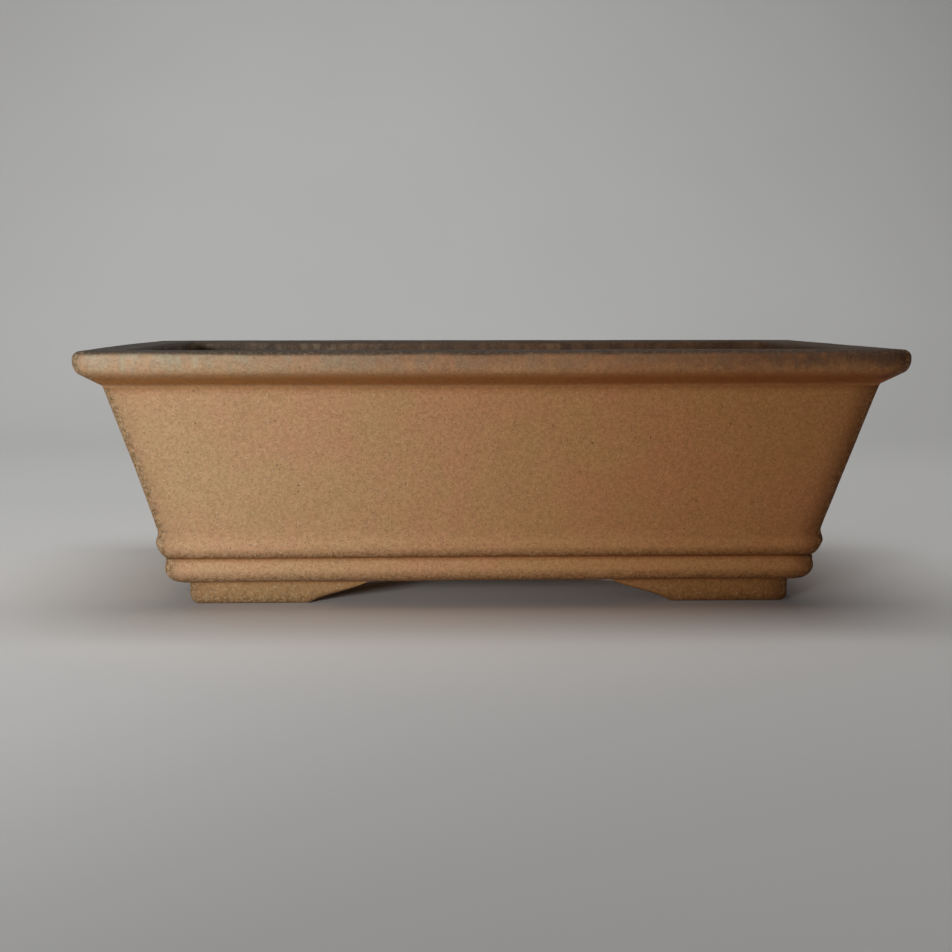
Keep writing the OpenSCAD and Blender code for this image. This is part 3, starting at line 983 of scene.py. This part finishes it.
def backdrop():
    bend = [(SWEEP_BACK + SWEEP_RADIUS * math.sin(a), SWEEP_RADIUS * (1 - math.cos(a)))
            for a in np.radians(np.linspace(0, 90, SWEEP_POINTS))]
    section = [(SWEEP_FRONT, 0.0)] + bend + [(SWEEP_BACK + SWEEP_RADIUS, SWEEP_HEIGHT)]
    points = [(x, y, z) for y, z in section for x in (-SWEEP_HALF_WIDTH, SWEEP_HALF_WIDTH)]
    faces = [(2 * k, 2 * k + 1, 2 * k + 3, 2 * k + 2) for k in range(len(section) - 1)]
    mesh = bpy.data.meshes.new("sweep")
    mesh.from_pydata(points, [], faces)
    mesh.shade_smooth()
    mesh.materials.append(paper())
    obj = bpy.data.objects.new("studio_sweep", mesh)
    bpy.context.scene.collection.objects.link(obj)


# Each light's place, aim, power and colour, and the soft boxes' sizes
KEY = ((-0.60, -1.15, 0.20), (-0.345, -0.09, 0.07), 57, (0.97, 0.98, 1.0))
KEY_CONE, KEY_BLEND, KEY_SOFTNESS = math.radians(48), 1.0, 0.11
OVERHEAD = ((0.05, 0.0, 1.3), (0.05, 0, 0), 6.0, (1.0, 0.99, 0.98))
OVERHEAD_SIZE = (1.2, 0.9)
WARM_FILL = ((0.7, -1.3, 0.25), (0.05, 0, 0.05), 0.6, (1.0, 0.75, 0.50))
WARM_FILL_SIZE = (0.9, 0.7)
BACKDROP_LIGHT = ((-0.5, 0.55, 1.5), (0, 2.0, 0.2), 9, (1.0, 0.99, 0.97))
BACKDROP_LIGHT_SIZE = (2.4, 0.8)
AMBIENT, AMBIENT_STRENGTH = (0.90, 0.93, 1.0, 1), 0.05


def light(kind, name, place, aim, power, colour):
    data = bpy.data.lights.new(name, kind)
    data.energy, data.color = power, colour
    obj = bpy.data.objects.new(name, data)
    bpy.context.scene.collection.objects.link(obj)
    obj.location = place
    direction = Vector(aim) - obj.location
    obj.rotation_euler = direction.to_track_quat("-Z", "Y").to_euler()
    return data


def soft_box(name, settings, size):
    data = light("AREA", name, *settings)
    data.shape, data.size, data.size_y = "RECTANGLE", *size


def lights():
    """A low soft key from the front left that fades rightwards, with soft boxes over the stage."""
    key = light("SPOT", "key", *KEY)
    key.spot_size, key.spot_blend, key.shadow_soft_size = KEY_CONE, KEY_BLEND, KEY_SOFTNESS
    soft_box("overhead", OVERHEAD, OVERHEAD_SIZE)
    soft_box("warm_fill", WARM_FILL, WARM_FILL_SIZE)
    soft_box("backdrop_light", BACKDROP_LIGHT, BACKDROP_LIGHT_SIZE)
    world = bpy.data.worlds.new("studio")
    world.use_nodes = True
    background = world.node_tree.nodes["Background"]
    background.inputs["Color"].default_value = AMBIENT
    background.inputs["Strength"].default_value = AMBIENT_STRENGTH
    bpy.context.scene.world = world


CAMERA_PLACE = (-0.0257, -0.6740, 0.1112)
CAMERA_PITCH, CAMERA_YAW = 5.85, -1.87      # degrees down, and turned about the vertical
CAMERA_LENS, CAMERA_SENSOR = 61.3, 36
CAMERA_NEAR = 0.01


def camera():
    data = bpy.data.cameras.new("camera")
    data.lens, data.sensor_width = CAMERA_LENS, CAMERA_SENSOR
    data.clip_start = CAMERA_NEAR
    obj = bpy.data.objects.new("camera", data)
    bpy.context.scene.collection.objects.link(obj)
    obj.location = CAMERA_PLACE
    obj.rotation_euler = (math.radians(90 - CAMERA_PITCH), 0, math.radians(CAMERA_YAW))
    bpy.context.scene.camera = obj
    bpy.context.scene.view_settings.view_transform = "Standard"
    bpy.context.scene.view_settings.look = "None"


strips("wall", wall_profile(), "body_clay")
strips("rim", rim_profile(), "rim_clay")
strips("bead", bead_profile(), "moulding_clay")
strips("band", band_profile(), "moulding_clay")
feet()
floor()
backdrop()
lights()
camera()
